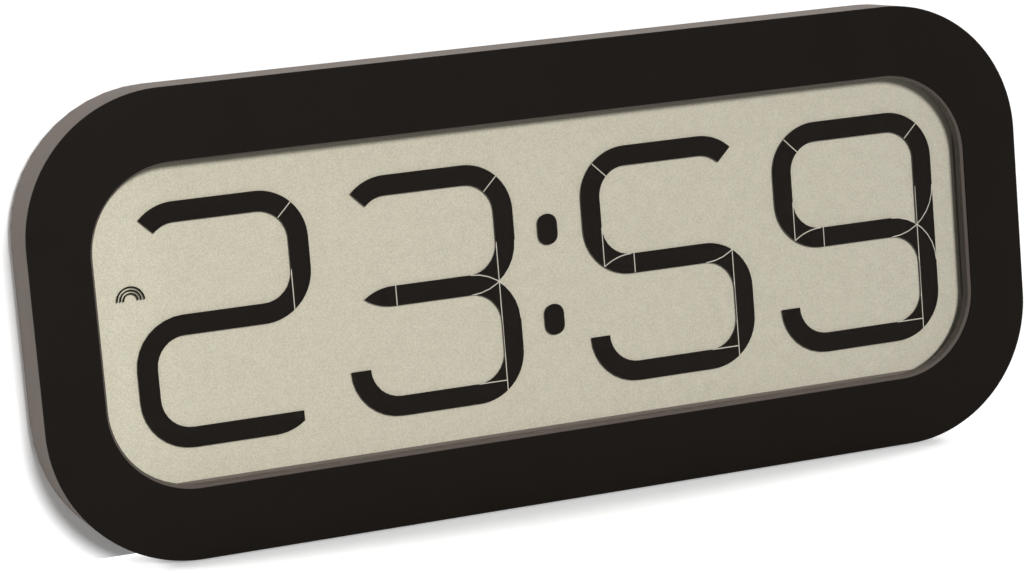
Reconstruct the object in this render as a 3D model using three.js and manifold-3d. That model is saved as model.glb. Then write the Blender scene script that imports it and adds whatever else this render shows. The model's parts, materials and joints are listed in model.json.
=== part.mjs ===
// Flat digital clock for a wall or a table, in millimetres.
// +Z is up, +X is to the right seen from the front, and the face looks along -Y.
// The origin lies under the middle of the case, on the surface that the feet stand on.
// A "depth" is counted from the face towards the back.
import * as THREE from "three";
import { mergeVertices } from "three/addons/utils/BufferGeometryUtils.js";
import Module from "manifold-3d";

const wasm = await Module();
wasm.setup();

// Case
const caseWidth = 368;
const caseHeight = 160;
const caseDepth = 28;
const caseCornerRadius = 49.6;
const caseWall = 2.4;
const faceThickness = 2.6;
const facePanelThickness = 0.6;
const coverThickness = 2.4;
const coverDepth = 5.3;
const rearEdgeRadius = 5;
const partingGap = 0.3;
const tongueThickness = 1.6;
const tongueDepth = 3;

// Clearances
const fitGap = 0.3;
const plateGap = 0.1;
const boreGap = 0.3;

// How far a cutting shape, or a shape joined to another, runs past the face that it meets
const overrun = 1;

// Window in the face
const bezelSide = 21.15;
const bezelHeight = 24.55;
const windowRadius = 30.3;
const windowBevel = 0.9;
const windowDrop = 0.3;
const lipDepth = 5.3;
const lipThickness = 1.6;

// Display
const lensThickness = 1;
const lensOverlap = 2;
const lensCornerRadius = 32;
const glassThickness = 1;
const glassOverlap = 3;
const glassLedge = 5.7;
const glassFootOverlap = 2;
const glassCornerRadius = 1.5;
const lensToGlass = 0.2;
const cellSpace = 0.4;
const sealWidth = 1.6;
const reflectorThickness = 0.2;

// Numerals
const digitsSideMargin = 10.85;
const digitsEndMargin = 12.55;
const digitGap = 11.15;
const colonGap = 25.9;
const digitStroke = 7;
const digitCornerRadius = 17.5;
const digitThickness = 0.3;
const grooveWidth = 0.4;
const grooveDepth = 0.2;
const digitsShift = 2;
const digitsDrop = 1;
const middleCutInset = 1;
const colonWidth = 7.2;
const colonHeight = 10.9;
const colonCornerRadius = 3.4;
const colonRise = 16;
const colonX = 1.6;

// Display holder
const holderGap = 0.4;
const holderWall = 1.4;
const holderPlate = 1.6;
const holderCornerRadius = 5;
const lugOverhang = 4;
const lugHeight = 14;
const holderBossRadius = 3.2;
const holderScrewInset = 10;

// Screws
const smallHeadRadius = 2.4;
const smallHeadHeight = 1.6;
const smallShankRadius = 1.1;
const smallShankLength = 3.6;
const rearHeadRadius = 3;
const rearHeadHeight = 2.2;
const rearShankRadius = 1.5;
const rearShankLength = 14;
const crossWidth = 0.8;
const crossDepth = 1.1;
const crossShare = 0.62;

// Screw columns between frame and cover
const bossRadius = 4;
const bossDepth = 20;
const bossBoreStart = 8;
const columnRadius = 4.6;
const headRoom = 0.7;
const headSink = 1.2;
const cornerScrewEndInset = 44;
const cornerScrewInset = 13;
const topScrewInset = 10;

// Main board
const boardWidth = 150;
const boardHeight = 45.75;
const boardTopInset = 1;
const boardThickness = 1.2;
const boardStandoff = 1.4;
const boardScrewX = 68;
const boardScrewInset = 5;
const postRadius = 3.2;
const rubberStripLength = 112;
const rubberStripWidth = 2.4;
const chipX = -22;
const chipRadius = 7;
const chipHeight = 1.7;
const crystalX = 2;
const crystalRadius = 1.5;
const crystalLength = 8;
const chipRise = 8;

// Push buttons
const buttonSpacing = 24;
const buttonFirstX = -58;
const buttonDrop = 39.8;
const buttonRadius = 4;
const buttonTravel = 0.6;
const buttonFlange = 1.2;
const buttonFlangeThickness = 1;
const buttonStemRadius = 2.4;
const buttonProud = 0.8;
const switchSize = 6.2;
const switchHeight = 3.6;
const plungerRadius = 1.75;
const plungerProud = 1;
const plungerSink = 1.1;
const buttonNames = ["mode", "set", "up", "down"];

// Slide switch
const slideX = 50;
const slideTravel = 3;
const slideBodyWidth = 12;
const slideBodyHeight = 5;
const slideBodyDepth = 4;
const knobWidth = 4;
const knobHeight = 3.4;
const knobFlange = 1.3;
const knobFlangeThickness = 1;
const stemWidth = 2;
const stemHeight = 1.7;

// Button panel, sunk into the cover
const panelWidth = 140;
const panelHeight = 20;
const panelSink = 1.4;
const panelCornerRadius = 3;

// Radio receiver
const rodEndInset = 24;
const rodLength = 62;
const rodRadius = 4;
const rodDrop = 60.8;
const rodLift = 2.6;
const coilRadius = 5.4;
const coilLength = 18;
const clipLength = 9;
const clipWall = 1.6;
const clipRise = 1.3;
const radioEndInset = 72;
const radioDrop = 56.8;
const radioWidth = 28;
const radioHeight = 22;
const radioChipWidth = 9.4;
const radioChipHeight = 7.4;
const padSize = 4;

// Battery bay
const cellRadius = 7.1;
const cellLength = 49.2;
const nubRadius = 2.7;
const nubLength = 1.3;
const cellClearance = 0.3;
const bayBottom = 5.6;
const bayWall = 1.2;
const springLength = 5.5;
const contactThickness = 0.4;
const contactWidth = 11;
const springWireRadius = 0.4;
const springRadius = 3.4;
const springTurns = 4;
const springStepsPerTurn = 8;
const springSides = 5;
const leadRadius = 0.6;
const leadRise = 1;
const leadDrift = 1;
const leadBend = 2;
const leadClimb = 12;
const leadApproach = 10;
const leadOverBoard = 2;
const leadSides = 6;
const leadSteps = 16;

// Battery door
const doorThickness = 2;
const doorBottom = 6.2;
const doorOverlap = 1.9;
const pegRadius = 0.9;
const pegLength = 2;
const pegSink = 0.2;
const notchWidth = 16;
const notchHeight = 7;
const notchSink = 2.8;

// Stand legs
const legEndInset = 84;
const legWidth = 34;
const legBottom = 7;
const legThickness = 3.4;
const pivotZ = 78;
const rodWireRadius = 0.9;
const rodOverhang = 3;
const legBoreGap = 0.2;
const recessWall = 2;
const fingerWidth = 9;
const fingerHeight = 16;
const fingerZ = 18;
const fingerSink = 2.8;

// Keyholes and sound slots
const keyholeEndInset = 88;
const keyholeDrop = 32.8;
const keyholeHeadRadius = 4.6;
const keyholeSlotWidth = 4.6;
const keyholeSlotLength = 9;
const soundX = 0;
const soundDrop = 26.8;
const soundSlots = 5;
const soundSlotPitch = 3.6;
const soundSlotWidth = 1.4;
const soundSlotLength = 18;
const buzzerRadius = 13;
const buzzerHeight = 4;
const buzzerWall = 1.4;
const buzzerHoleRadius = 2.6;
const buzzerHoleDepth = 1;

// Feet
const footProud = 0.8;
const footEndInset = 79;
const footLength = 28;
const footInset = 3.6;
const footWidth = 17;
const footCornerRadius = 4;

// Fineness of round shapes: steps in a quarter turn
const coarse = 3;
const medium = 5;
const numeralSteps = 8;
const fine = 12;

// Places along the case that follow
const caseEndX = caseWidth / 2;
const caseTop = footProud + caseHeight;
const holderScrewX = caseEndX - holderScrewInset;
const lugReach = holderScrewX + lugOverhang;
const cornerScrewX = caseEndX - cornerScrewEndInset;
const cornerScrewRise = caseHeight / 2 - cornerScrewInset;
const topScrewRise = caseHeight / 2 - topScrewInset;
const rodX0 = rodEndInset - caseEndX;
const rodX1 = rodX0 + rodLength;
const rodZ = caseTop - rodDrop;
const radioX = caseEndX - radioEndInset;
const radioZ = caseTop - radioDrop;
const buttonZ = caseTop - buttonDrop;
const legX = caseEndX - legEndInset;
const keyholeX = caseEndX - keyholeEndInset;
const keyholeZ = caseTop - keyholeDrop;
const footX = caseEndX - footEndInset;

// Heights and depths that follow
const caseMidZ = footProud + caseHeight / 2;
const soundZ = caseMidZ - soundDrop;
const windowZ = caseMidZ - windowDrop;
const digitsZ = caseMidZ - digitsDrop;
const openingWidth = caseWidth - 2 * bezelSide - 2 * windowBevel;
const openingHeight = caseHeight - 2 * bezelHeight - 2 * windowBevel;
const openingRadius = windowRadius - windowBevel;
const digitWidth = (openingWidth - 2 * digitsSideMargin - 2 * digitGap - colonGap) / 4;
const digitHeight = openingHeight - 2 * digitsEndMargin;
const digitPitch = digitWidth + digitGap;
const hourToMinutePitch = digitWidth + colonGap;
const frameDepth = caseDepth - coverDepth - partingGap;
const coverInner = caseDepth - coverThickness;
const lensNear = lipDepth + plateGap;
const frontGlassNear = lensNear + lensThickness + lensToGlass;
const frontGlassFar = frontGlassNear + glassThickness;
const rearGlassNear = frontGlassFar + cellSpace;
const rearGlassFar = rearGlassNear + glassThickness;
const reflectorNear = rearGlassFar + plateGap;
const holderNear = reflectorNear + reflectorThickness + plateGap;
const holderFar = holderNear + holderPlate;
const boardNear = holderFar + boardStandoff;
const boardFar = boardNear + boardThickness;
const glassWidth = openingWidth + 2 * glassOverlap;
const glassTop = windowZ + openingHeight / 2 + glassLedge;
const glassBottom = windowZ - openingHeight / 2 - glassFootOverlap;
const rearGlassTop = windowZ + openingHeight / 2 + glassOverlap;
const boardTop = glassTop + boardTopInset;
const boardBottom = boardTop - boardHeight;
const chipZ = boardBottom + chipRise;
const rubberStripZ = (rearGlassTop + glassTop) / 2 + fitGap / 2;
const panelFloor = caseDepth - panelSink;
const panelInner = panelFloor - coverThickness;
const buttonFace = panelFloor + buttonProud;
const flangeFar = panelInner - fitGap;
const flangeNear = flangeFar - buttonFlangeThickness;
const plungerFar = boardFar + switchHeight + plungerProud;
const bayTop = bayBottom + 2 * cellRadius + 2 * cellClearance;
const cellZ = bayBottom + cellClearance + cellRadius;
const doorInner = caseDepth - doorThickness;
const cellDepth = doorInner - cellClearance - cellRadius;
const bayFloor = cellDepth - cellRadius - cellClearance;
const bayLength = 2 * (cellLength + nubLength) + springLength + 2 * contactThickness + fitGap;
const bayEndX = bayLength / 2;
const doorTop = bayTop + doorOverlap;
const doorHalfWidth = bayEndX + doorOverlap;
const doorPivotDepth = doorInner + pegSink;
const doorPivotRadius = caseDepth - doorPivotDepth;
const doorPivotZ = doorBottom + doorPivotRadius;
const legRadius = legThickness / 2;
const legInner = caseDepth - legThickness;
const legPivotDepth = caseDepth - legRadius;
const recessFloor = legInner - fitGap;
const leadDepth = boardFar + leadRadius + fitGap;

// Materials
const finish = (color, roughness, metalness = 0, opacity = 1) => new THREE.MeshStandardMaterial({
  color, roughness, metalness, opacity, transparent: opacity < 1,
});
const blackPlastic = finish(0x211e1a, 0.45);
const greyPlastic = finish(0x6b645f, 0.6);
const trayPlastic = finish(0xd8d6cf, 0.6);
const clear = finish(0xf4f6f2, 0.05, 0, 0.25);
const segmentInk = finish(0x1c1a18, 0.5);
const reflectorFoil = finish(0xc9c4b2, 0.7);
const boardGreen = finish(0x2f6b44, 0.6);
const chipBlack = finish(0x141414, 0.5);
const steel = finish(0xb9bcc0, 0.3, 1);
const copper = finish(0xb06a3b, 0.35, 1);
const ferrite = finish(0x2b2b2e, 0.7);
const rubber = finish(0x1a1a1a, 0.9);
const cellJacket = finish(0x3f6f8f, 0.4);
const redWire = finish(0xa02020, 0.5);

// Shape helpers

function depthToY(depth) {
  return depth - caseDepth / 2;
}

function solid(geometry) {
  const bare = new THREE.BufferGeometry();
  bare.setAttribute("position", geometry.getAttribute("position"));
  if (geometry.index) {
    bare.setIndex(geometry.index);
  }
  const merged = mergeVertices(bare, 1e-4);
  return new wasm.Manifold(new wasm.Mesh({
    numProp: 3,
    vertProperties: new Float32Array(merged.getAttribute("position").array),
    triVerts: new Uint32Array(merged.index.array),
  }));
}

function joined(first, ...others) {
  return others.reduce((whole, piece) => whole.add(piece), first);
}

function cut(first, ...others) {
  return others.reduce((whole, piece) => whole.subtract(piece), first);
}

function polar(x, z, radius, degrees) {
  const angle = THREE.MathUtils.degToRad(degrees);
  return new THREE.Vector2(x + radius * Math.cos(angle), z + radius * Math.sin(angle));
}

function arc(x, z, radius, fromDegrees, toDegrees, steps = numeralSteps) {
  const points = [];
  for (let i = 0; i <= steps; i += 1) {
    points.push(polar(x, z, radius, fromDegrees + (toDegrees - fromDegrees) * i / steps));
  }
  return points;
}

function point(x, z) {
  return [new THREE.Vector2(x, z)];
}

// Joins runs of points to one loop and drops doubled points.
function loop(...runs) {
  const kept = [];
  for (const next of runs.flat()) {
    if (!kept.length || next.distanceTo(kept[kept.length - 1]) > 1e-3) {
      kept.push(next);
    }
  }
  if (kept[0].distanceTo(kept[kept.length - 1]) < 1e-3) {
    kept.pop();
  }
  return kept;
}

function roundedRect(width, height, radius, x, z, steps = medium) {
  const dx = width / 2 - radius;
  const dz = height / 2 - radius;
  return loop(
    arc(x + dx, z + dz, radius, 0, 90, steps),
    arc(x - dx, z + dz, radius, 90, 180, steps),
    arc(x - dx, z - dz, radius, 180, 270, steps),
    arc(x + dx, z - dz, radius, 270, 360, steps),
  );
}

// A plate with that outline, seen from the front, between two depths.
function plate(points, near, far) {
  const geometry = new THREE.ExtrudeGeometry(new THREE.Shape(points), {
    depth: far - near, bevelEnabled: false, steps: 1,
  });
  geometry.rotateX(Math.PI / 2);
  geometry.translate(0, depthToY(far), 0);
  return solid(geometry);
}

function block(x0, x1, near, far, z0, z1) {
  const geometry = new THREE.BoxGeometry(x1 - x0, far - near, z1 - z0);
  geometry.translate((x0 + x1) / 2, depthToY((near + far) / 2), (z0 + z1) / 2);
  return solid(geometry);
}

function round(radius, near, far, x, z, sides = 4 * coarse) {
  const geometry = new THREE.CylinderGeometry(radius, radius, far - near, sides);
  geometry.translate(x, depthToY((near + far) / 2), z);
  return solid(geometry);
}

function roundAlongX(radius, x0, x1, depth, z, sides = 4 * coarse) {
  const geometry = new THREE.CylinderGeometry(radius, radius, x1 - x0, sides);
  geometry.rotateZ(Math.PI / 2);
  geometry.translate((x0 + x1) / 2, depthToY(depth), z);
  return solid(geometry);
}

// An outline in depth and height, drawn as (depth, z), carried along X.
function bar(points, x0, x1) {
  const geometry = new THREE.ExtrudeGeometry(new THREE.Shape(points), {
    depth: x1 - x0, bevelEnabled: false, steps: 1,
  });
  const toRow = new THREE.Matrix4().makeBasis(
    new THREE.Vector3(0, 1, 0),
    new THREE.Vector3(0, 0, 1),
    new THREE.Vector3(1, 0, 0),
  );
  geometry.applyMatrix4(toRow);
  geometry.translate(x0, -caseDepth / 2, 0);
  return solid(geometry);
}

// A solid through outlines of the same number of points, given from the front to the back.
function loft(levels) {
  const count = levels[0].points.length;
  const positions = [];
  for (const level of levels) {
    for (const corner of level.points) {
      positions.push(corner.x, depthToY(level.depth), corner.y);
    }
  }
  const index = [];
  for (let ring = 0; ring + 1 < levels.length; ring += 1) {
    for (let i = 0; i < count; i += 1) {
      const a = ring * count + i;
      const b = ring * count + (i + 1) % count;
      index.push(a, a + count, b, b, a + count, b + count);
    }
  }
  const lastRing = (levels.length - 1) * count;
  for (const [a, b, c] of THREE.ShapeUtils.triangulateShape(levels[0].points, [])) {
    index.push(a, b, c);
    index.push(lastRing + a, lastRing + c, lastRing + b);
  }
  const geometry = new THREE.BufferGeometry();
  geometry.setAttribute("position", new THREE.Float32BufferAttribute(positions, 3));
  geometry.setIndex(index);
  return solid(geometry);
}

// A round tube along a curve.
function tube(curve, radius, steps, sides) {
  const section = new THREE.Shape(loop(arc(0, 0, radius, 0, 360, sides)));
  return solid(new THREE.ExtrudeGeometry(section, {
    extrudePath: curve, steps, bevelEnabled: false,
  }));
}

function toMesh(name, body, material) {
  const data = body.getMesh();
  const geometry = new THREE.BufferGeometry();
  geometry.setAttribute("position", new THREE.BufferAttribute(data.vertProperties, 3));
  geometry.setIndex(new THREE.BufferAttribute(data.triVerts, 1));
  const mesh = new THREE.Mesh(geometry, material);
  mesh.name = name;
  return mesh;
}

const clock = new THREE.Group();

function put(name, body, material) {
  clock.add(toMesh(name, body, material));
}

// Places of the rear screws: two at each end, one at the top middle
const rearScrews = [
  [-cornerScrewX, caseMidZ + cornerScrewRise],
  [cornerScrewX, caseMidZ + cornerScrewRise],
  [-cornerScrewX, caseMidZ - cornerScrewRise],
  [cornerScrewX, caseMidZ - cornerScrewRise],
  [0, caseMidZ + topScrewRise],
];

// Outlines that several pieces share

function caseOutline(inset) {
  return roundedRect(
    caseWidth - 2 * inset, caseHeight - 2 * inset, caseCornerRadius - inset, 0, caseMidZ, fine);
}

function windowOutline(outset) {
  return roundedRect(
    openingWidth + 2 * outset, openingHeight + 2 * outset, openingRadius + outset, 0, windowZ, fine);
}

// Front frame: side walls, bevelled window with its lip, and screw bosses, under a thin black face panel

function frontFrame() {
  const shell = cut(
    plate(caseOutline(0), facePanelThickness, frameDepth),
    plate(caseOutline(caseWall), faceThickness, frameDepth + overrun),
  );
  const lip = plate(windowOutline(lipThickness), faceThickness / 2, lipDepth);
  const bosses = rearScrews.map(([x, z]) => round(bossRadius, faceThickness / 2, bossDepth, x, z));
  const lugBosses = [-holderScrewX, holderScrewX].map(
    (x) => round(holderBossRadius, faceThickness / 2, holderNear, x, windowZ));
  const opening = plate(windowOutline(0), -overrun, lipDepth + overrun);
  const reach = windowBevel / 2;
  const bevel = loft([
    { depth: facePanelThickness - reach, points: windowOutline(windowBevel + reach) },
    { depth: facePanelThickness + windowBevel, points: windowOutline(0) },
  ]);
  const bores = rearScrews.map(
    ([x, z]) => round(rearShankRadius + boreGap, bossBoreStart, bossDepth + overrun, x, z));
  const lugBores = [-holderScrewX, holderScrewX].map(
    (x) => round(smallShankRadius + boreGap, faceThickness, holderNear + overrun, x, windowZ));
  return cut(joined(shell, lip, ...bosses, ...lugBosses), opening, bevel, ...bores, ...lugBores);
}

put("front_frame", frontFrame(), greyPlastic);
put("face_panel", cut(
  plate(caseOutline(0), 0, facePanelThickness),
  plate(windowOutline(windowBevel), -overrun, facePanelThickness + overrun),
), blackPlastic);

// Feet under the frame

for (const [side, x] of [["left", -footX], ["right", footX]]) {
  const pad = new THREE.ExtrudeGeometry(
    new THREE.Shape(roundedRect(
      footLength, footWidth, footCornerRadius, x, depthToY(footInset + footWidth / 2), coarse)),
    { depth: footProud, bevelEnabled: false, steps: 1 });
  put(`foot_${side}`, solid(pad), rubber);
}

// Display: window, glasses, seal, reflector

put("display_window", plate(
  roundedRect(openingWidth + 2 * lensOverlap, openingHeight + 2 * lensOverlap, lensCornerRadius,
    0, windowZ, fine),
  lensNear, lensNear + lensThickness), clear);

function glassPlate(bottom, top, near, far) {
  return plate(
    roundedRect(glassWidth, top - bottom, glassCornerRadius, 0, (top + bottom) / 2, coarse), near, far);
}

put("lcd_front_glass", glassPlate(glassBottom, glassTop, frontGlassNear, frontGlassFar), clear);
put("lcd_rear_glass", glassPlate(glassBottom, rearGlassTop, rearGlassNear, rearGlassFar), clear);
put("lcd_reflector", glassPlate(
  glassBottom, rearGlassTop, reflectorNear, reflectorNear + reflectorThickness), reflectorFoil);

function edgeSeal() {
  const height = rearGlassTop - glassBottom;
  const middle = (rearGlassTop + glassBottom) / 2;
  const outer = roundedRect(glassWidth - sealWidth, height - sealWidth, glassCornerRadius, 0, middle, coarse);
  const inner = roundedRect(
    glassWidth - 3 * sealWidth, height - 3 * sealWidth, glassCornerRadius, 0, middle, coarse);
  return cut(
    plate(outer, frontGlassFar, rearGlassNear),
    plate(inner, frontGlassFar - overrun, rearGlassNear + overrun),
  );
}

put("lcd_edge_seal", edgeSeal(), trayPlastic);

// Numerals: each is made of the parts that are lit in a rounded seven-part figure

const halfWidth = digitWidth / 2;
const halfHeight = digitHeight / 2;
const outerR = digitCornerRadius;
const innerR = digitCornerRadius - digitStroke;
const cornerX = halfWidth - outerR;
const middleBarCut = cornerX - middleCutInset;
const innerX = halfWidth - digitStroke;
const endZ = halfHeight - outerR;
const waistZ = outerR - digitStroke / 2;
const halfBar = digitStroke / 2;
const bottomBarTop = -halfHeight + digitStroke;
const crossing = THREE.MathUtils.radToDeg(Math.atan2(waistZ, innerX - cornerX));

function mirrored(points) {
  return points.map((p) => new THREE.Vector2(-p.x, p.y)).reverse();
}

function upended(points) {
  return points.map((p) => new THREE.Vector2(p.x, -p.y)).reverse();
}

const topBar = loop(
  arc(cornerX, endZ, outerR, 45, 90),
  arc(-cornerX, endZ, outerR, 90, 135),
  arc(-cornerX, endZ, innerR, 135, 90),
  arc(cornerX, endZ, innerR, 90, 45),
);
const upperRight = loop(
  arc(cornerX, waistZ, outerR, -crossing, 0),
  arc(cornerX, endZ, outerR, 0, 45),
  arc(cornerX, endZ, innerR, 45, 0),
  point(innerX, 0),
);
const lowerRight = loop(
  arc(cornerX, -endZ, outerR, -crossing, 0),
  arc(cornerX, -waistZ, outerR, 0, crossing),
);
const bottomBar = loop(
  arc(-cornerX, -endZ, outerR, 180, 270),
  arc(cornerX, -endZ, outerR, 270, 360 - crossing),
  point(innerX, bottomBarTop),
  arc(-cornerX, -endZ, innerR, 270, 180),
);
const middleBar = loop(
  point(-middleBarCut, -halfBar),
  arc(cornerX, waistZ, outerR, -90, -crossing),
  arc(cornerX, -waistZ, outerR, crossing, 90),
  point(-middleBarCut, halfBar),
);
const middleTip = loop(
  point(-middleBarCut, halfBar),
  arc(-cornerX, -waistZ, outerR, 90, 180 - crossing),
  arc(-cornerX, waistZ, outerR, 180 + crossing, 270),
  point(-middleBarCut, -halfBar),
);
const upperWedge = loop(
  arc(cornerX, waistZ, innerR, 0, -90),
  arc(cornerX, -waistZ, outerR, 90, crossing),
).reverse();
const lowerWedge = loop(
  arc(cornerX, -endZ, innerR, 0, -90),
  point(innerX, bottomBarTop),
).reverse();
const waistWedge = loop(
  arc(cornerX, waistZ, outerR, -crossing, 0),
  arc(cornerX, -waistZ, outerR, 0, crossing),
).reverse();
const lowerSweep = loop(
  arc(cornerX, waistZ, innerR, 0, -90),
  arc(-cornerX, -waistZ, outerR, 90, 180),
  arc(-cornerX, -endZ, outerR, 180, 270),
  arc(cornerX, -endZ, outerR, 270, 360 - crossing),
  point(innerX, bottomBarTop),
  arc(-cornerX, -endZ, innerR, 270, 180),
  arc(-cornerX, -waistZ, innerR, 180, 90),
  arc(cornerX, waistZ, outerR, -90, -crossing),
);

// Fine lines between the lit parts, as centre lines
const diagonalRight = [
  polar(cornerX, endZ, innerR - overrun, 45),
  polar(cornerX, endZ, outerR + overrun, 45),
];
const diagonalLeft = mirrored(diagonalRight);
const edgeRight = [...point(innerX, waistZ), ...point(innerX, -halfHeight)];
const edgeRightUpper = [...point(innerX, waistZ), ...point(innerX, -halfBar)];
const edgeLeftUpper = [...point(-innerX, waistZ), ...point(-innerX, 0)];
const arcRightUpper = arc(cornerX, -waistZ, outerR, 90, 0);
const arcRightLower = arc(cornerX, waistZ, outerR, -90, 0);
const arcLeftUpper = arc(-cornerX, -waistZ, outerR, 90, 180 - crossing);
const barCut = [...point(-middleBarCut, halfBar + overrun), ...point(-middleBarCut, -halfBar - overrun)];
const bottomCut = [...point(cornerX, bottomBarTop), ...point(innerX, bottomBarTop)];

const two = {
  parts: [topBar, upperRight, lowerSweep],
  lines: [diagonalRight, edgeRightUpper],
};
const three = {
  parts: [topBar, upperRight, upperWedge, middleBar, middleTip, upended(upperWedge),
    lowerRight, lowerWedge, bottomBar],
  lines: [diagonalRight, edgeRight, arcRightUpper, arcRightLower, barCut, bottomCut],
};
const five = {
  parts: [topBar, mirrored(upperRight), mirrored(upperWedge), middleTip, middleBar,
    upended(upperWedge), lowerRight, lowerWedge, bottomBar],
  lines: [diagonalLeft, edgeLeftUpper, arcLeftUpper, barCut, edgeRight, arcRightLower, bottomCut],
};
const nine = {
  parts: [topBar, upperRight, waistWedge, mirrored(upperRight), mirrored(upperWedge), middleTip,
    middleBar, upended(upperWedge), lowerRight, lowerWedge, bottomBar],
  lines: [diagonalLeft, diagonalRight, edgeLeftUpper, arcLeftUpper, barCut, edgeRight,
    arcRightUpper, arcRightLower, bottomCut],
};

// The thin band that a groove removes along a line of points
function band(points, width) {
  const left = [];
  const right = [];
  for (let i = 0; i < points.length; i += 1) {
    const before = points[Math.max(i - 1, 0)];
    const after = points[Math.min(i + 1, points.length - 1)];
    const side = after.clone().sub(before).normalize().multiplyScalar(width / 2);
    left.push(new THREE.Vector2(points[i].x - side.y, points[i].y + side.x));
    right.push(new THREE.Vector2(points[i].x + side.y, points[i].y - side.x));
  }
  return [...right, ...left.reverse()];
}

function shifted(points, x, z) {
  return points.map((p) => new THREE.Vector2(p.x + x, p.y + z));
}

// The web at the back keeps a numeral in one piece; the grooves part its front.
function numeral(figure, x) {
  const near = frontGlassFar;
  const far = near + digitThickness;
  const parts = figure.parts.map((points) => plate(shifted(points, x, digitsZ), near, far));
  const grooves = figure.lines.map(
    (points) => plate(shifted(band(points, grooveWidth), x, digitsZ), near - overrun, near + grooveDepth));
  return cut(joined(...parts), ...grooves);
}

const hoursUnitsX = digitsShift - hourToMinutePitch / 2;
const minutesTensX = digitsShift + hourToMinutePitch / 2;
put("digit_hours_tens", numeral(two, hoursUnitsX - digitPitch), segmentInk);
put("digit_hours_units", numeral(three, hoursUnitsX), segmentInk);
put("digit_minutes_tens", numeral(five, minutesTensX), segmentInk);
put("digit_minutes_units", numeral(nine, minutesTensX + digitPitch), segmentInk);

for (const [name, rise] of [["colon_upper", colonRise], ["colon_lower", -colonRise]]) {
  put(name, plate(
    roundedRect(colonWidth, colonHeight, colonCornerRadius, colonX, digitsZ + rise),
    frontGlassFar, frontGlassFar + digitThickness), segmentInk);
}

// Display holder: tray behind the glasses, with lugs, board posts and radio pads

const holderBottom = glassBottom - holderGap - holderWall;
const holderTop = glassTop + holderGap + holderWall;
const holderWidth = glassWidth + 2 * (holderGap + holderWall);
const boardScrewZ = boardBottom + boardScrewInset;
const boardPadZ = boardTop - boardScrewInset;

function displayHolder() {
  const height = holderTop - holderBottom;
  const middle = (holderTop + holderBottom) / 2;
  const outer = roundedRect(holderWidth, height, holderCornerRadius, 0, middle);
  const tray = cut(
    plate(outer, lensNear, holderFar),
    plate(roundedRect(glassWidth + 2 * holderGap, height - 2 * holderWall,
      glassCornerRadius + holderGap, 0, middle, coarse), lensNear - overrun, holderNear),
  );
  const lugs = block(
    -lugReach, lugReach, holderNear, holderFar, windowZ - lugHeight / 2, windowZ + lugHeight / 2);
  const posts = [-boardScrewX, boardScrewX].flatMap((x) => [
    round(postRadius, holderNear, boardNear, x, boardScrewZ),
    round(postRadius, holderNear, boardNear, x, boardPadZ),
  ]);
  const radioPads = [-1, 1].flatMap((sx) => [-1, 1].map((sz) => {
    const x = radioX + sx * (radioWidth - padSize) / 2;
    const z = radioZ + sz * (radioHeight - padSize) / 2;
    return block(x - padSize / 2, x + padSize / 2, holderNear, boardNear, z - padSize / 2, z + padSize / 2);
  }));
  const stripSlot = block(
    -rubberStripLength / 2 - fitGap, rubberStripLength / 2 + fitGap,
    holderNear - overrun, holderFar + overrun,
    rubberStripZ - rubberStripWidth / 2 - fitGap, rubberStripZ + rubberStripWidth / 2 + fitGap);
  const screwBores = [-boardScrewX, boardScrewX].map(
    (x) => round(smallShankRadius + boreGap, holderNear, boardNear + overrun, x, boardScrewZ));
  const lugBores = [-holderScrewX, holderScrewX].map(
    (x) => round(smallShankRadius + boreGap, holderNear - overrun, holderFar + overrun, x, windowZ));
  return cut(joined(tray, lugs, ...posts, ...radioPads), stripSlot, ...screwBores, ...lugBores);
}

put("lcd_holder", displayHolder(), trayPlastic);

// Screws with a crossed recess in the head

function screw(x, z, seat, headRadius, headHeight, shankRadius, shankLength) {
  const top = seat + headHeight;
  const arm = headRadius * crossShare;
  return cut(
    joined(
      round(headRadius, seat, top, x, z),
      round(shankRadius, seat - shankLength, seat + headHeight / 2, x, z, 2 * coarse)),
    block(x - arm, x + arm, top - crossDepth, top + overrun, z - crossWidth / 2, z + crossWidth / 2),
    block(x - crossWidth / 2, x + crossWidth / 2, top - crossDepth, top + overrun, z - arm, z + arm),
  );
}

function smallScrew(x, z, seat) {
  return screw(x, z, seat, smallHeadRadius, smallHeadHeight, smallShankRadius, smallShankLength);
}

for (const [side, sign] of [["left", -1], ["right", 1]]) {
  put(`holder_screw_${side}`, smallScrew(sign * holderScrewX, windowZ, holderFar), steel);
  put(`board_screw_${side}`, smallScrew(sign * boardScrewX, boardScrewZ, boardFar), steel);
}

// Main board and what it carries

put("rubber_connector", block(
  -rubberStripLength / 2, rubberStripLength / 2, frontGlassFar, boardNear,
  rubberStripZ - rubberStripWidth / 2, rubberStripZ + rubberStripWidth / 2), rubber);

put("main_board", cut(
  block(-boardWidth / 2, boardWidth / 2, boardNear, boardFar, boardBottom, boardTop),
  ...[-boardScrewX, boardScrewX].map(
    (x) => round(smallShankRadius + boreGap, boardNear - overrun, boardFar + overrun, x, boardScrewZ)),
), boardGreen);

function chipBlob() {
  const profile = [new THREE.Vector2(0, 0)];
  for (let i = 0; i <= coarse; i += 1) {
    const angle = Math.PI / 2 * i / coarse;
    profile.push(new THREE.Vector2(chipRadius * Math.cos(angle), chipHeight * Math.sin(angle)));
  }
  profile[profile.length - 1].x = 0;
  const geometry = new THREE.LatheGeometry(profile, 4 * coarse);
  geometry.translate(chipX, depthToY(boardFar), chipZ);
  return solid(geometry);
}

put("driver_chip", chipBlob(), chipBlack);
put("quartz_crystal", roundAlongX(
  crystalRadius, crystalX, crystalX + crystalLength, boardFar + crystalRadius + plateGap, chipZ), steel);

// Push buttons: switch on the board, plunger, and cap in the cover

const buttons = buttonNames.map((name, i) => ({ name, x: buttonFirstX + i * buttonSpacing }));

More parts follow.
